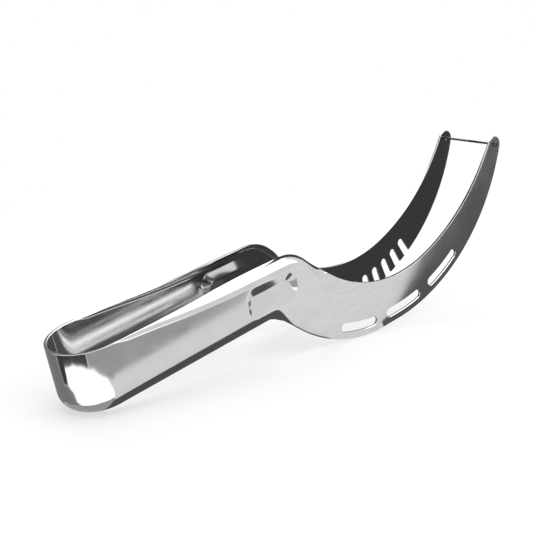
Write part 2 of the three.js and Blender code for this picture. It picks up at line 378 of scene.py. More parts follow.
def turns(x_upper, x_lower):
    """How far the upper and lower curls are turned."""
    run_in = RUN_IN_SHARE * fade(x_upper, RUN_IN_START, RUN_IN_END)
    growth = (1 - RUN_IN_SHARE) * fade(x_upper, RUN_IN_START, GROWTH_END)
    upper = (run_in + growth) * (1 - fade(x_upper, FLAT_X - CURL_FADE, FLAT_X))
    lower = 1 - fade(x_lower, THROAT_X - CURL_FADE / 2, THROAT_X + CURL_FADE / 2)
    return [LEAST_TURN + (FULL_TURN - LEAST_TURN) * share for share in (upper, lower)]


print("upper and lower turn at x = 40, in degrees:", np.round(np.degrees(turns(40, 40)), 1))

# %% One section
UPPER_CURL = 4.0
LOWER_CURL = 6.0
RIM = 0.12  # rounding of the sheet's edges
ARC_STEPS = 14
FACE_STEPS = 44
RIM_STEPS = 4


def on_circle(centre, radius, angles):
    angles = np.atleast_1d(angles)
    return np.column_stack([np.cos(angles), np.sin(angles)]) * radius + centre


def lip(centre, radius, turn):
    """Rounded end of a curl, from its outer to its inner surface, and the two end angles."""
    quarter = np.linspace(0, math.pi / 2, RIM_STEPS + 1)
    outer_radius = radius - RIM
    inner_radius = radius - SHEET + RIM
    outer_angle = turn - RIM / outer_radius
    inner_angle = turn - RIM / inner_radius
    outer_corner = on_circle(centre, outer_radius, outer_angle)[0]
    inner_corner = on_circle(centre, inner_radius, inner_angle)[0]
    outer_round = on_circle(outer_corner, RIM, outer_angle + quarter)
    inner_round = on_circle(inner_corner, RIM, inner_angle + math.pi / 2 + quarter)
    return np.vstack([outer_round, inner_round]), outer_angle, inner_angle


def half_section(centre, radius, turn):
    """Outer arc, lip and inner arc of one curl that turns upwards from the face."""
    points, outer_angle, inner_angle = lip(centre, radius, turn)
    outer = on_circle(centre, radius, np.linspace(0, outer_angle, ARC_STEPS)[:-1])
    inner = on_circle(centre, radius - SHEET, np.linspace(inner_angle, 0, ARC_STEPS)[1:])
    return np.vstack([outer, points, inner])


def section(top, bottom, upper_turn, lower_turn):
    """Closed outline (y across, z up) of the strip on the +y side."""
    upper = np.array([FACE - UPPER_CURL, top - UPPER_CURL * math.sin(upper_turn)])
    lower = np.array([FACE - LOWER_CURL, bottom + LOWER_CURL * math.sin(lower_turn)])
    above = half_section(upper, UPPER_CURL, upper_turn)
    below = half_section(lower * [1, -1], LOWER_CURL, lower_turn) * [1, -1]
    heights = np.linspace(upper[1], lower[1], FACE_STEPS + 2)[1:-1]
    inside = np.column_stack([np.full(FACE_STEPS, FACE - SHEET), heights])
    outside = np.column_stack([np.full(FACE_STEPS, FACE), heights[::-1]])
    return np.vstack([above, inside, below[::-1], outside])


sample = section(GRIP_TOP, -THROAT_DEPTH, FULL_TURN, FULL_TURN)
print("points in a section:", len(sample))
print("width of the lower curl in mm:", round(FACE - sample[:, 0].min(), 2))

# %% [markdown]
# ## The thumb dimple
# Each arm has a rounded rectangle pressed into it, just behind the shoulder, where thumb and
# finger hold the tool. Pressed sheet keeps its thickness, so the dimple is a hollow outside and a
# bump inside. It is made by pushing both surfaces inward by the same amount: from the edge of the
# rectangle down a wall of one slope, to a floor that leans a little, with a round bend at each
# end of the wall. A boolean would leave hard corners that no press makes.

# %% Dimple
DIMPLE_MIDDLE = np.array([75.6, 0.0])
DIMPLE_HALF = np.array([11.25, 5.5])
DIMPLE_CORNER = 4.5
DIMPLE_DEPTH = 1.1  # in the middle of its floor
DIMPLE_TILT = math.radians(10)  # its floor leans, deeper towards the top
DIMPLE_WALL = 2.7  # width of its sloping wall where it is that deep
DIMPLE_ROUND = 0.12  # depth in which the wall rounds into the face and into the floor


def eased(depth):
    """A depth that starts from 0 with a round bend, not with a fold."""
    bent = (depth + DIMPLE_ROUND) ** 2 / (4 * DIMPLE_ROUND)
    return np.where(depth <= -DIMPLE_ROUND, 0, np.where(depth >= DIMPLE_ROUND, depth, bent))


def inside_rectangle(x, z):
    """Distance inside the rounded rectangle in the side view, negative outside it."""
    beyond = np.abs(np.column_stack([x, z]) - DIMPLE_MIDDLE) - (DIMPLE_HALF - DIMPLE_CORNER)
    outside = np.hypot(*np.maximum(beyond, 0).T)
    return DIMPLE_CORNER - outside - np.minimum(beyond.max(axis=1), 0)


def dimple(x, z):
    """How far the press has pushed the sheet inward."""
    wall = eased(inside_rectangle(x, z) * DIMPLE_DEPTH / DIMPLE_WALL)
    floor = DIMPLE_DEPTH + math.tan(DIMPLE_TILT) * z
    return np.maximum(wall - eased(wall - floor), 0)


print("dimple depth in its middle in mm:", round(dimple(*DIMPLE_MIDDLE[:, None])[0], 2))

# %% Sections along an arm
PUSH_END = 3.5  # inward from the face, where the press no longer moves the curls


def strip_ring(x_upper, x_lower):
    """Section of the toothed side's arm whose plane meets the two edges at two places."""
    top = upper_height(x_upper)
    bottom = lower_height(x_lower)
    outline = section(top, bottom, *turns(x_upper, x_lower))
    share = (outline[:, 1] - bottom) / (top - bottom)
    x = x_lower + (x_upper - x_lower) * share
    on_face = fade(outline[:, 0], FACE - PUSH_END, FACE - SHEET)
    y = outline[:, 0] - on_face * dimple(x, outline[:, 1])
    return np.column_stack([x, y, outline[:, 1]])


end_ring = strip_ring(RUN_IN_START, RUN_IN_START)
print("height of the strip at the end of the bow in mm:", round(np.ptp(end_ring[:, 2]), 2))

# %% [markdown]
# ## Lofting
# A loft joins rings of equal length with four-sided faces and closes both ends. Blender's Bridge
# Edge Loops does the same by hand. In code it takes a few lines, and every point stays where the
# section put it. A second helper finishes any mesh of the level drawing: it turns the faces
# outward, keeps sharp folds sharp, and moves the mesh to its place on the standing tool.

# %% Mesh helpers
SHARP_FOLD = math.radians(35)  # a steeper fold stays sharp in the shading
SAME_POINT = 1e-5  # mm


def loft(rings):
    count = len(rings[0])
    last = (len(rings) - 1) * count
    faces = [list(range(count)), list(range(last, last + count))]
    for near in range(0, last, count):
        far = near + count
        for i in range(count):
            j = (i + 1) % count
            faces.append([near + i, near + j, far + j, far + i])
    mesh = bpy.data.meshes.new("loft")
    mesh.from_pydata(np.vstack(rings).tolist(), [], faces)
    return mesh


def finish_mesh(name, mesh, material):
    """Outward normals, smooth shading with sharp folds, and an object on the standing tool."""
    edit = bmesh.new()
    edit.from_mesh(mesh)
    bmesh.ops.remove_doubles(edit, verts=edit.verts, dist=SAME_POINT)
    bmesh.ops.recalc_face_normals(edit, faces=edit.faces)
    for face in edit.faces:
        face.smooth = True
    for edge in edit.edges:
        if len(edge.link_faces) == 2 and edge.calc_face_angle() > SHARP_FOLD:
            edge.smooth = False
    edit.to_mesh(mesh)
    edit.free()
    mesh.transform(stand)
    mesh.name = name
    mesh.materials.clear()
    mesh.materials.append(material)
    return add_object(name, mesh)


def count_faces(piece):
    return f"{piece.name}: {len(piece.data.polygons)} faces"


print("faces of a loft between two sections:", len(end_ring), "and two ends")

# %% [markdown]
# ## Geometry Nodes in a script
# Two things on this tool follow a rule: the bow is one outline swept round, and slots and notches
# stand in a row along the belly. Geometry Nodes are made for that. Each tree has named inputs for
# its sizes, which are set by their identifiers, and each ends in Realize Instances and Set
# Material. The evaluated result then becomes a plain mesh, and the modifier goes.

# %% Curves and evaluated meshes
def add_spline(data, points, cyclic):
    """Straight pieces through (x, y, z) points."""
    spline = data.splines.new("POLY")
    spline.points.add(len(points) - 1)
    spline.points.foreach_set("co", [number for point in points for number in (*point, 1.0)])
    spline.use_cyclic_u = cyclic


def poly_curve(name, points, cyclic):
    data = bpy.data.curves.new(name, "CURVE")
    data.dimensions = "3D"
    add_spline(data, points, cyclic)
    return add_object(name, data)


def evaluated_mesh(thing):
    """What an object looks like after its modifiers, as a plain mesh."""
    graph = bpy.context.evaluated_depsgraph_get()
    return bpy.data.meshes.new_from_object(thing.evaluated_get(graph), depsgraph=graph)


print("helpers: add_spline, poly_curve, evaluated_mesh")

# %% Tree helpers
def new_tree(name, given):
    """A Geometry Nodes tree, and the outputs that bring its named inputs."""
    tree = bpy.data.node_groups.new(name, "GeometryNodeTree")
    for label, kind in [("Geometry", "Geometry"), *given]:
        tree.interface.new_socket(label, in_out="INPUT", socket_type="NodeSocket" + kind)
    tree.interface.new_socket("Geometry", in_out="OUTPUT", socket_type="NodeSocketGeometry")
    return tree, add_node(tree, "NodeGroupInput", {})


def object_geometry(tree, chosen):
    """Geometry of the object that an input names."""
    return add_node(tree, "GeometryNodeObjectInfo", {"Object": chosen})["Geometry"]


def finish_tree(tree, geometry, material):
    """Every tree ends the same way: realize instances, then set the material."""
    realized = add_node(tree, "GeometryNodeRealizeInstances", {"Geometry": geometry})["Geometry"]
    inputs = {"Geometry": realized, "Material": material}
    painted = add_node(tree, "GeometryNodeSetMaterial", inputs)["Geometry"]
    add_node(tree, "NodeGroupOutput", {"Geometry": painted})
    return tree


def run_tree(carrier, tree, values):
    """Sets the tree's inputs by identifier and returns the evaluated result as a plain mesh."""
    modifier = carrier.modifiers.new(tree.name, "NODES")
    modifier.node_group = tree
    for item in tree.interface.items_tree:
        if item.in_out == "INPUT" and item.name in values:
            modifier[item.identifier] = values[item.name]
    carrier.update_tag()
    mesh = evaluated_mesh(carrier)
    carrier.modifiers.remove(modifier)
    return mesh


print("helpers: new_tree, object_geometry, finish_tree, run_tree")

# %% [markdown]
# ## The bow
# At the back the strip turns half round. Its section stays the same all the way, plain at the
# top and curled in below, so the bow follows a rule: one outline swept along a half circle. In
# Geometry Nodes that is Curve to Mesh, with the path and the outline as inputs. A lathe would do
# as well, but the sweep also takes the two short straight ends.

# %% Sweep tree and path
SWEEP_STEPS = 48  # on each quarter of the bow


def sweep_tree():
    given = [("Path", "Object"), ("Outline", "Object"), ("Material", "Material")]
    tree, start = new_tree("sweep", given)
    path = {"Curve": object_geometry(tree, start["Path"])}
    upright = add_node(tree, "GeometryNodeSetCurveNormal", path, mode="Z_UP")["Curve"]
    outline = object_geometry(tree, start["Outline"])
    inputs = {"Curve": upright, "Profile Curve": outline, "Fill Caps": True}
    swept = add_node(tree, "GeometryNodeCurveToMesh", inputs)["Mesh"]
    return finish_tree(tree, swept, start["Material"])


def bow_path():
    """From the slotted side's end round the back to the toothed side's end."""
    angles = np.linspace(-math.pi / 2, -math.pi * 1.5, 2 * SWEEP_STEPS + 1)
    bend = [(FACE + FACE * math.cos(a), FACE * math.sin(a), 0.0) for a in angles]
    return [(RUN_IN_START, -FACE, 0.0), *bend, (RUN_IN_START, FACE, 0.0)]


print("points on the path of the bow:", len(bow_path()))

# %% Bow
path = poly_curve("bow_path", bow_path(), cyclic=False)
outline = poly_curve("bow_outline", [(FACE - y, -z, 0.0) for x, y, z in end_ring], cyclic=True)
carrier = add_object("sweep_carrier", bpy.data.meshes.new("sweep_carrier"))
values = {"Path": path, "Outline": outline, "Material": polished}
bow = finish_mesh("spring_bow_strip", run_tree(carrier, sweep_tree(), values), polished)
for helper in (path, outline, carrier):
    bpy.data.objects.remove(helper)
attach(bow, "bow")
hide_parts("spring_bow")
print(count_faces(bow))

# %% [markdown]
# ## Grip arms
# Each arm is lofted in two stretches: the rear one from the bow to the middle of the grip, and the
# front one, with the dimple and the neck, on to the blade. Both have the same section where they
# meet, so no seam shows. The front stretch ends on a slanted plane, behind the first slot. The
# sections stand close together only where the shape changes.

# %% Sections to loft through
GRIP_SPLIT = 50.0
SPLIT_UPPER = 106.5  # where the slanted plane meets the upper edge
SPLIT_LOWER = 98.0  # and the lower edge
SLANT_START = 88.0
GRIP_STRETCHES = [(RUN_IN_START, 24, 0.4), (24, GRIP_SPLIT, 1.0)]  # start, end and spacing
NECK_STRETCHES = [(GRIP_SPLIT, 62, 1.0), (62, 89, 0.33), (89, SPLIT_UPPER, 0.5)]


def stations(stretches):
    """Places along the tool, as the spacings of the stretches give them."""
    places = []
    for start, end, spacing in stretches:
        count = max(1, round((end - start) / spacing))
        places.extend(np.linspace(start, end, count + 1)[:-1])
    return [*places, stretches[-1][1]]


def slanted(x):
    """Where the section plane that meets the upper edge at x meets the lower edge."""
    share = max(0, (x - SLANT_START) / (SPLIT_UPPER - SLANT_START))
    return x - (SPLIT_UPPER - SPLIT_LOWER) * share


grip_places = stations(GRIP_STRETCHES)
neck_places = stations(NECK_STRETCHES)
print("sections in a grip and a neck:", len(grip_places), len(neck_places))

# %% Grips and necks
SIDES = {"slotted": -1, "toothed": 1}


def arm_piece(name, side, places):
    rings = [strip_ring(x, slanted(x)) * [1, side, 1] for x in places]
    return finish_mesh(name, loft(rings), polished)


for label, side in SIDES.items():
    grip = arm_piece(label + "_grip", side, grip_places)
    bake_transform(grip)
    neck = arm_piece(label + "_neck", side, neck_places)
    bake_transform(neck)
    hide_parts(label + "_side_arm")
    print(count_faces(grip), count_faces(neck))

# %% [markdown]
# ## Outline of a blade
# In front of the neck the strip is a flat plate. From the side it has a hollow upper edge, a round
# tip and a belly, all of them arcs that run into each other smoothly. The tip's own arc has to
# touch both front edges at a given height, and its place is found by halving a range until it
# does. A drawn spline would come close, but the arcs are the ones of the solids.

# %% Round tip
HOLLOW_TURN = math.radians(16)
HOLLOW_FRONT_RADIUS = 80.0
BELLY_FLAT = 7.0
BELLY_FRONT_RADIUS = 74.0
TIP_RISE = 15.5
HALVINGS = 50

turn_point = np.array([math.sin(HOLLOW_TURN), -math.cos(HOLLOW_TURN)])
hollow_front = hollow + (HOLLOW_RADIUS - HOLLOW_FRONT_RADIUS) * turn_point
belly_front = np.array([belly[0] + BELLY_FLAT, BELLY_FRONT_RADIUS - BELLY_DROP])


def find_tip():
    """Centre of the round tip, which touches both front edges, by halving its range."""
    reach = HOLLOW_FRONT_RADIUS + BELLY_FRONT_RADIUS
    near = hollow_front[0]
    far = near + reach
    for _ in range(HALVINGS):
        tip = np.array([(near + far) / 2, TIP_RISE])
        if math.dist(tip, hollow_front) + math.dist(tip, belly_front) < reach:
            near = tip[0]
        else:
            far = tip[0]
    return tip


tip = find_tip()
tip_radius = BELLY_FRONT_RADIUS - math.dist(tip, belly_front)
tip_upper = math.atan2(*(tip - hollow_front)[::-1])
tip_lower = math.atan2(*(tip - belly_front)[::-1])
print("tip radius in mm:", round(tip_radius, 2))

# %% Outline and place of the wire
WIRE_DIAMETER = 0.9
WIRE_CLEARANCE = 0.3
WIRE_EDGE_DISTANCE = 3.2
DOWN = -math.pi / 2
EDGE_STEPS = 60
TIP_STEPS = 32
BELLY_STEPS = 90


def arc(centre, radius, start, end, steps):
    return on_circle(centre, radius, np.linspace(start, end, steps + 1))


def blade_outline():
    upper_turn = DOWN + HOLLOW_TURN
    return np.vstack(
        [
            arc(hollow, HOLLOW_RADIUS, DOWN - NECK_SLOPE, upper_turn, EDGE_STEPS),
            arc(hollow_front, HOLLOW_FRONT_RADIUS, upper_turn, tip_upper, EDGE_STEPS)[1:],
            arc(tip, tip_radius, tip_upper + math.pi, tip_lower, TIP_STEPS)[1:],
            arc(belly_front, BELLY_FRONT_RADIUS, tip_lower, DOWN, BELLY_STEPS)[1:],
            arc(belly, BELLY_RADIUS, DOWN, DOWN - THROAT_SLOPE, EDGE_STEPS),
        ]
    )


tip_heading = (tip_upper + tip_lower) / 2 + math.pi / 2
wire_point = on_circle(tip, tip_radius - WIRE_EDGE_DISTANCE, tip_heading)[0]
print("points in the outline:", len(blade_outline()), "wire at:", np.round(wire_point, 2))

# %% [markdown]
# ## Plate from a flat curve
# Blender fills a flat curve, and the curve's own bevel rounds both rims all the way round and in
# the wire's hole, which would be slow work by hand. Behind, the plate is cut off on the slanted
# plane where the neck ends, and the cut is closed.

# %% Plate
HOLE_STEPS = 24
WELD = 1e-4  # mm, joins the fill of the curve to its bevel


def flat_plate(outlines):
    """A plate on the +y side with rounded rims, from side view outlines."""
    data = bpy.data.curves.new("plate", "CURVE")
    data.dimensions = "2D"
    data.fill_mode = "BOTH"
    data.extrude = SHEET / 2 - RIM
    data.bevel_depth = RIM
    data.bevel_resolution = RIM_STEPS - 2
    data.offset = -RIM
    for outline in outlines:
        add_spline(data, [(x, z, 0.0) for x, z in outline], cyclic=True)
    curve = add_object("plate", data)
    mesh = evaluated_mesh(curve)
    bpy.data.objects.remove(curve)
    upright = Matrix.Rotation(math.pi / 2, 4, "X")
    mesh.transform(Matrix.Translation((0, FACE - SHEET / 2, 0)) @ upright)
    return mesh


def cut_rear(mesh):
    """Removes what lies behind the slanted plane and closes the cut."""
    upper = Vector((SPLIT_UPPER, 0, upper_height(SPLIT_UPPER)))
    lower = Vector((SPLIT_LOWER, 0, lower_height(SPLIT_LOWER)))
    rearwards = (upper - lower).cross(Vector((0, 1, 0)))
    edit = bmesh.new()
    edit.from_mesh(mesh)
    bmesh.ops.remove_doubles(edit, verts=edit.verts, dist=WELD)
    everything = [*edit.verts, *edit.edges, *edit.faces]
    bmesh.ops.bisect_plane(
        edit, geom=everything, plane_co=upper, plane_no=rearwards, clear_outer=True
    )
    open_edges = [edge for edge in edit.edges if len(edge.link_faces) == 1]
    bmesh.ops.edgeloop_fill(edit, edges=open_edges)
    bmesh.ops.recalc_face_normals(edit, faces=edit.faces)
    edit.to_mesh(mesh)
    edit.free()
    return mesh


hole_radius = WIRE_DIAMETER / 2 + WIRE_CLEARANCE
wire_hole = arc(wire_point, hole_radius, 0, 2 * math.pi, HOLE_STEPS)[:-1]
plate = cut_rear(flat_plate([blade_outline(), wire_hole]))
plate_points = np.array([vertex.co for vertex in plate.vertices])
print("length, thickness and height of the plate in mm:", np.round(np.ptp(plate_points, axis=0), 2))

# %% [markdown]
# ## Cutters for slots and notches
# Three long slots follow the belly of one blade, and eleven notches stand along the belly of the
# other. Each starts as one straight cutter, drawn as if the belly were a straight line: x along
# it, z inward. The cutters are wider at the two faces of the sheet, so each hole comes out with
# its small broken edge, as punched and tumbled sheet has.

# %% Straight cutters
SLOT_WIDTH = 3.6
SLOT_LENGTH = 20.5
SLOT_INSET = 4.4  # from the belly's edge to the middle of a slot
SLOT_POINTS = 25  # on each long side, so that it can bend
NOTCH_WIDTH = 3.4
NOTCH_DEPTH = 8.3
NOTCH_MOUTH = 1.5  # how far the cutter reaches out of the belly
ROUND_STEPS = 16
BROKEN_EDGE = 0.22
OVERHANG = 0.4  # how far a cutter stands out of a face
FLARE = [  # places across the sheet, and how much wider a cutter is there on each side
    (-SHEET / 2 - OVERHANG, OVERHANG + BROKEN_EDGE),
    (-SHEET / 2 + BROKEN_EDGE, 0),
    (SHEET / 2 - BROKEN_EDGE, 0),
    (SHEET / 2 + OVERHANG, OVERHANG + BROKEN_EDGE),
]


def slot_shape(growth):
    half = SLOT_WIDTH / 2 + growth
    straight = SLOT_LENGTH - SLOT_WIDTH
    along = np.linspace(-straight / 2, straight / 2, SLOT_POINTS)
    lower = np.column_stack([along, np.full(SLOT_POINTS, SLOT_INSET - half)])
    upper = np.column_stack([along[::-1], np.full(SLOT_POINTS, SLOT_INSET + half)])
    front = arc([along[-1], SLOT_INSET], half, DOWN, -DOWN, ROUND_STEPS)[1:-1]
    rear = arc([along[0], SLOT_INSET], half, -DOWN, -3 * DOWN, ROUND_STEPS)[1:-1]
    return np.vstack([lower, front, upper, rear])


def notch_shape(growth):
    """Open at the belly's edge, with a round end."""
    half = NOTCH_WIDTH / 2 + growth
    end = [0, NOTCH_DEPTH - NOTCH_WIDTH / 2]
    mouth = [(-half, -NOTCH_MOUTH), (half, -NOTCH_MOUTH)]
    return np.vstack([mouth, arc(end, half, 0, math.pi, ROUND_STEPS)])


def cutter(name, shape):
    mesh = loft([np.insert(shape(growth), 1, across, axis=1) for across, growth in FLARE])
    mesh.name = name
    edit = bmesh.new()
    edit.from_mesh(mesh)
    bmesh.ops.recalc_face_normals(edit, faces=edit.faces)
    edit.to_mesh(mesh)
    edit.free()
    return add_object(name, mesh)


slot_cutter = cutter("slot_cutter", slot_shape)
notch_cutter = cutter("notch_cutter", notch_shape)
print(count_faces(slot_cutter), count_faces(notch_cutter))

# %% [markdown]
# ## A row that bends along the belly
# Slots and notches repeat along the same path, so one Geometry Nodes tree makes both. It sets a
# row of straight cutters on a line, bends the row along the belly with Sample Curve, and takes it
# out of the plate. An Array and a Curve modifier would bend a row too, but here number, pitch and
# middle are inputs of one tree.

# %% Vector nodes
def vector(tree, **parts):
    """A vector from its X, Y or Z. The others are 0."""
    return add_node(tree, "ShaderNodeCombineXYZ", parts)["Vector"]


def vector_math(tree, operation, first, second):
    inputs = {0: first, "Scale" if operation == "SCALE" else 1: second}
    return add_node(tree, "ShaderNodeVectorMath", inputs, operation=operation)["Vector"]


print("helpers: vector, vector_math")

# %% Pattern tree
def cutter_row(tree, start):
    """Straight cutters in a row along x, with the middle of the row at 0."""
    gaps = calculate(tree, "SUBTRACT", start["Count"], 1.0)
    length = calculate(tree, "MULTIPLY", gaps, start["Pitch"])
    line = {
        "Count": start["Count"],
        "Start Location": vector(tree, X=calculate(tree, "MULTIPLY", length, -0.5)),
        "Offset": vector(tree, X=start["Pitch"]),
    }
    points = add_node(tree, "GeometryNodeMeshLine", line, mode="OFFSET")["Mesh"]
    inputs = {"Points": points, "Instance": object_geometry(tree, start["Cutter"])}
    copies = add_node(tree, "GeometryNodeInstanceOnPoints", inputs)["Instances"]
    return add_node(tree, "GeometryNodeRealizeInstances", {"Geometry": copies})["Geometry"]


def bend_along_path(tree, start, geometry):
    """Takes x as the way along the path, y as the way across and z as the way inward."""
    position = add_node(tree, "GeometryNodeInputPosition", {})["Position"]
    at = add_node(tree, "ShaderNodeSeparateXYZ", {"Vector": position})
    length = calculate(tree, "ADD", at["X"], start["Middle"])
    inputs = {"Curves": object_geometry(tree, start["Path"]), "Length": length}
    on_path = add_node(tree, "GeometryNodeSampleCurve", inputs, mode="LENGTH")
    inward = vector_math(tree, "CROSS_PRODUCT", on_path["Tangent"], (0, 1, 0))
    raised = vector_math(tree, "SCALE", inward, at["Z"])
    bent = vector_math(tree, "ADD", on_path["Position"], raised)
    bent = vector_math(tree, "ADD", bent, vector(tree, Y=at["Y"]))
    inputs = {"Geometry": geometry, "Position": bent}
    return add_node(tree, "GeometryNodeSetPosition", inputs)["Geometry"]


def pattern_tree():
    given = [
        ("Cutter", "Object"), ("Path", "Object"), ("Count", "Int"), ("Pitch", "Float"),
        ("Middle", "Float"), ("Material", "Material"),
    ]
    tree, start = new_tree("belly_pattern", given)
    cutters = bend_along_path(tree, start, cutter_row(tree, start))
    inputs = {"Mesh 1": start["Geometry"], "Mesh 2": cutters}
    punched = add_node(tree, "GeometryNodeMeshBoolean", inputs, operation="DIFFERENCE")["Mesh"]
    return finish_tree(tree, punched, start["Material"])


pattern = pattern_tree()
print("nodes in the pattern tree:", len(pattern.nodes))

# %% [markdown]
# ## The two blades
# Both blades are the same plate, punched along the same belly, and the one on the slotted side is
# mirrored. The flat faces are shaded flat, so that only the rounded rims catch the light. Two
# drawn blades would do too, but one plate can't come out different on the two sides.

# %% Path along the belly
PATH_START = -42.0  # on the belly's edge, from the middle of its level stretch
PATH_END = 60.0
PATH_POINTS = 205


def belly_point(distance):
    """Point on the belly's edge at a distance from the middle of its level stretch."""
    past = abs(distance) - BELLY_FLAT / 2
    if past <= 0:
        return np.array([belly[0] + BELLY_FLAT / 2 + distance, -BELLY_DROP])
    if distance > 0:
        return on_circle(belly_front, BELLY_FRONT_RADIUS, DOWN + past / BELLY_FRONT_RADIUS)[0]
    return on_circle(belly, BELLY_RADIUS, DOWN - past / BELLY_RADIUS)[0]


path_points = []
for distance in np.linspace(PATH_START, PATH_END, PATH_POINTS):
    x, z = belly_point(distance)
    path_points.append((x, FACE - SHEET / 2, z))
belly_path = poly_curve("belly_path", path_points, cyclic=False)
print("ends of the path:", np.round(path_points[0], 1), np.round(path_points[-1], 1))

# %% Blades
SLOT_COUNT = 3
SLOT_PITCH = 26.5
SLOT_MIDDLE = 7.9  # in front of the middle of the belly's level stretch
NOTCH_COUNT = 11
NOTCH_PITCH = 6.75
NOTCH_MIDDLE = 6.7
FLAT_ENOUGH = 0.9999  # share of a flat face's normal that points straight across

patterns = {
    "slotted": (slot_cutter, SLOT_COUNT, SLOT_PITCH, SLOT_MIDDLE),
    "toothed": (notch_cutter, NOTCH_COUNT, NOTCH_PITCH, NOTCH_MIDDLE),
}
for label, side in SIDES.items():
    tool, count, pitch, middle = patterns[label]
    carrier = add_object("carrier", plate)
    values = {
        "Cutter": tool, "Path": belly_path, "Count": count, "Pitch": pitch,
        "Middle": middle - PATH_START, "Material": satin,
    }
    punched = run_tree(carrier, pattern, values)
    punched.transform(Matrix.Diagonal((1, side, 1, 1)))
    blade = finish_mesh(label + "_blade_plate", punched, satin)
    for face in blade.data.polygons:
        face.use_smooth = abs(face.normal.y) < FLAT_ENOUGH
    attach(blade, label + "_front")
    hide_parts(label + "_blade")
    print(count_faces(blade))
    bpy.data.objects.remove(carrier)
    bpy.data.objects.remove(tool)
bpy.data.objects.remove(belly_path)

# %% [markdown]
# ## The cutting wire
# A stiff wire crosses from tip to tip, and its ends are upset into small flat heads outside the
# blades. It is round everywhere, so rings of different radius along one line are enough.

# %% Wire
HEAD_DIAMETER = 2.2
HEAD_GAP = 0.3  # between a blade and a head
HEAD_THICKNESS = 0.5
HEAD_START = FACE + HEAD_GAP
HEAD_END = HEAD_START + HEAD_THICKNESS
HEAD_ROUND = 0.2
HEAD_POINTS = 6  # on the round edge of a head
WIRE_STEPS = 32
FILLET = 0.15  # where the wire runs into its head
CROWN = 0.04  # how far the middle of a head stands out
CROWN_SHARE = 0.4  # radius of that middle, as a share of the head's


def wire_profile():
    """(place across the tool, radius) from one end to the other."""
    shank = WIRE_DIAMETER / 2
    head = HEAD_DIAMETER / 2
    half = [(0.0, shank), (HEAD_START - FILLET, shank), (HEAD_START, shank + FILLET)]
    half.append((HEAD_START, head))
    for angle in np.linspace(0, math.pi / 2, HEAD_POINTS):
        across = HEAD_END - HEAD_ROUND + HEAD_ROUND * math.sin(angle)
        half.append((across, head - HEAD_ROUND + HEAD_ROUND * math.cos(angle)))
    half.append((HEAD_END + CROWN, head * CROWN_SHARE))
    return [(-across, radius) for across, radius in half[:0:-1]] + half


def wire_ring(across, radius):
    circle = arc(wire_point, radius, 0, 2 * math.pi, WIRE_STEPS)[:-1]
    return np.insert(circle, 1, across, axis=1)


wire_rings = [wire_ring(across, radius) for across, radius in wire_profile()]
wire = finish_mesh("cutting_wire_rod", loft(wire_rings), drawn_wire)
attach(wire, "wire")
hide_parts("cutting_wire")
print(count_faces(wire))

# %% [markdown]
# ## Floor and background
# The photograph has a plain white ground. The floor is a pale surface that takes the shadow, and
# for rays that come from the camera or from the metal it also shines a little by itself, so that
# it reads as white without more light on the tool. The world does the same around it.

# %% Materials of the stage
GLOW_DISTANCE = (0.1, 0.3)  # metres from the middle, between which the floor's own glow grows
GLOW_SHARE = (0.6, 1.0)


def seen_directly(tree):
    """1 for rays from the camera, a reflection or glass, and 0 for light that spreads."""
    path = add_node(tree, "ShaderNodeLightPath", {})
    value = path["Is Camera Ray"]
    for name in ("Is Glossy Ray", "Is Transmission Ray"):
        value = calculate(tree, "MAXIMUM", value, path[name])
    return value


def glow(tree, strength):
    return add_node(tree, "ShaderNodeEmission", {"Strength": strength})["Emission"]


def set_surface(tree, surface):
    """Puts another surface in the place of the usual shader."""
    tree.nodes.remove(tree.nodes["Principled BSDF"])
    feed(tree, tree.nodes["Material Output"], {"Surface": surface})


def floor_material():
    material, tree = new_material("pale_floor")
    pale = add_node(tree, "ShaderNodeBsdfDiffuse", {"Color": (0.8, 0.8, 0.8, 1)})["BSDF"]
    place_on_floor = {0: object_place(tree)}
    away = add_node(tree, "ShaderNodeVectorMath", place_on_floor, operation="LENGTH")["Value"]
    whiter = spread(tree, away, GLOW_DISTANCE, GLOW_SHARE, interpolation_type="SMOOTHSTEP")
    share = calculate(tree, "MULTIPLY", seen_directly(tree), whiter)
    inputs = {"Fac": share, 1: pale, 2: glow(tree, 1.0)}
    set_surface(tree, add_node(tree, "ShaderNodeMixShader", inputs)["Shader"])
    return material


pale_floor = floor_material()
print("material of the floor:", pale_floor.name)

# %% Floor and world
FLOOR_HALF = 3.0  # metres
FLOOR_LEVEL = -0.0002  # just under the tool
SPREAD_LIGHT = 0.45  # strength of the world where it isn't seen directly

scene.view_settings.view_transform = "Standard"


def stage_plane(name, corners, material):
    mesh = bpy.data.meshes.new(name)
    mesh.from_pydata(corners, [], [list(range(len(corners)))])
    mesh.materials.append(material)
    plane = add_object(name, mesh)
    return plane


square = [(-1, -1), (1, -1), (1, 1), (-1, 1)]
floor_corners = [(FLOOR_HALF * x, FLOOR_HALF * y, FLOOR_LEVEL) for x, y in square]
stage_plane("floor", floor_corners, pale_floor)

world = bpy.data.worlds.new("studio")
scene.world = world
world.use_nodes = True
tree = world.node_tree
strength = spread(tree, seen_directly(tree), (0.0, 1.0), (SPREAD_LIGHT, 1.0))
feed(tree, tree.nodes["Background"], {"Color": (1, 1, 1, 1), "Strength": strength})
print("floor and world are white to the camera and to the metal")

# %% [markdown]
# ## Lamps
# Large soft lamps hang above and on both sides, as in a small studio for product pictures. Their
# size keeps the shadow soft. One of them isn't mirrored by the metal, so it only lights the floor.
# Small lamps would be quicker to set, but each would show as a hard white spot in the polish.

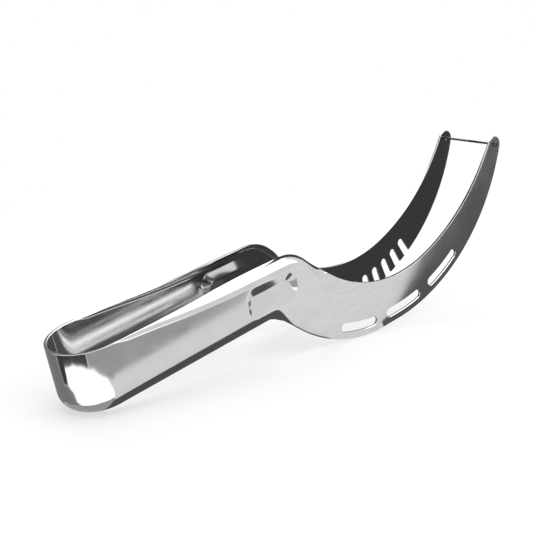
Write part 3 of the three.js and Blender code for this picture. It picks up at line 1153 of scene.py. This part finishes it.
# %% Lamps
def soft_lamp(name, location, size, power, mirrored=True):
    """An area lamp that looks at the tool. Place and size are in metres, power is in watts."""
    data = bpy.data.lights.new(name, "AREA")
    data.shape = "RECTANGLE"
    data.size, data.size_y = size
    data.energy = power
    lamp = add_object(name, data)
    lamp.location = location
    lamp.visible_glossy = mirrored
    lamp.rotation_euler = (-Vector(location)).to_track_quat("-Z", "Y").to_euler()


soft_lamp("overhead", (0.1, 0.0, 0.9), (1.2, 0.8), 2.6)
soft_lamp("floor_fill", (0.0, 0.0, 1.2), (1.0, 1.0), 5.0, mirrored=False)
soft_lamp("front", (0.4, -0.85, 0.9), (1.4, 0.8), 7.0)
soft_lamp("rear", (0.2, 0.85, 0.9), (1.4, 0.8), 5.0)
print("lamps:", ", ".join(light.name for light in bpy.data.lights))

# %% [markdown]
# ## Cards for the metal to mirror
# Polished metal shows its surroundings, so a photographer chooses the surroundings. Cards lie on
# the floor where the strip mirrors them, and others stand behind the tool and between its blades.
# Dark ones give the strip its dark bands, and bright ones give it the white patch on the bow and
# the glint in the dimple. Only reflections see them, so they neither show in the picture nor throw
# shadows. Painting the tones on the metal would be easier, but they wouldn't move with the view.

# %% Card helper
def card(name, strength, points):
    """A flat card that shines evenly and is seen by reflections only. points are in mm."""
    material, tree = new_material(name)
    set_surface(tree, glow(tree, strength))
    plane = stage_plane(name, [Vector(point) / 1000 for point in points], material)
    plane.visible_camera = False
    plane.visible_diffuse = False
    plane.visible_shadow = False
    plane.visible_transmission = False


def upright_card(name, strength, y, across, up):
    (left, right), (low, high) = across, up
    card(name, strength, [(left, y, low), (right, y, low), (right, y, high), (left, y, high)])


print("helpers: card, upright_card")

# %% Cards
CARD_LEVEL = 0.1  # mm, just over the floor
BEHIND = 800  # mm, how far the background stands behind the tool
CARDS = {  # strength, and corners on the floor in mm
    # Dark lower edges and insides of the arms, and the upper wall of the dimple
    "under_grip": (0.11, [
        (-84, -17), (-20, -34), (8, -43), (7, -29), (9, -17), (6, -10),
        (6, 10), (9, 17), (7, 29), (8, 43), (-20, 34), (-92, 18), (-92, 4),
    ]),
    "under_neck": (0.05, [(6, -10), (30, -9), (30, 9), (6, 10)]),
    # Dark fronts of the blades and dark rear end of the dimple
    "beside_blades": (0.13, [
        (30, -9), (34, -14), (38, -19), (48, -23.5), (62, -31), (124, -71), (240, -150),
        (900, -600), (1500, -600), (1500, 600), (900, 600), (240, 150), (124, 71), (44, 19),
        (34, 14), (30, 9),
    ]),
    # Grey band on the outside of the slotted grip
    "front": (0.48, [
        (-84.5, -39), (-101.5, -36.7), (-106.5, -32.5), (-113, -41), (-140, -51), (-140, -87),
        (26, -87), (15, -75), (-78, -38),
    ]),
    # Glint at the front end of the dimple
    "far_front": (2.0, [(-90, -88), (0, -88), (0, -170), (-90, -170)]),
    # White patch on the bow, grey rim below it, dark band above it and grey behind it
    "bow_bright": (2.0, [
        (-97, -8), (-106, -5), (-110, 0), (-119, 1), (-119.5, -13), (-114, -25), (-102, -36),
        (-85, -38), (-81, -31), (-83, -22), (-91, -16),
    ]),
    "bow_contact": (0.45, [(-99, 2), (-97, -8), (-91, -16), (-83, -22), (-84, -17), (-92, 4)]),
    "bow_dark": (0.06, [
        (-109.5, 0.5), (-119, 1.5), (-120, -13), (-114.5, -25), (-107.5, -31.5), (-113, -40),
        (-140, -50), (-140, 26), (-119.5, 13), (-109, 5),
    ]),
    "bow_rear": (0.26, [
        (-99, 2.5), (-97.5, -7), (-106, -4), (-109, 0.5), (-108.5, 5), (-119, 13.5),
        (-170, 50), (-170, 200), (-60, 200), (-60, 24), (-92, 18.5), (-92.5, 4.5),
    ]),
}
for name, (strength, points) in CARDS.items():
    card("card_" + name, strength, [(x, y, CARD_LEVEL) for x, y in points])
# A dark flag for the insides of the blades, and a grey background
upright_card("flag_between_blades", 0.06, 0, (-14, 115), (1, 72))
upright_card("card_behind", 0.25, BEHIND, (-1500, 2000), (0, 420))
upright_card("card_behind_bow", 0.25, BEHIND, (-600, 330), (420, 640))
print("cards on the floor:", ", ".join(CARDS))
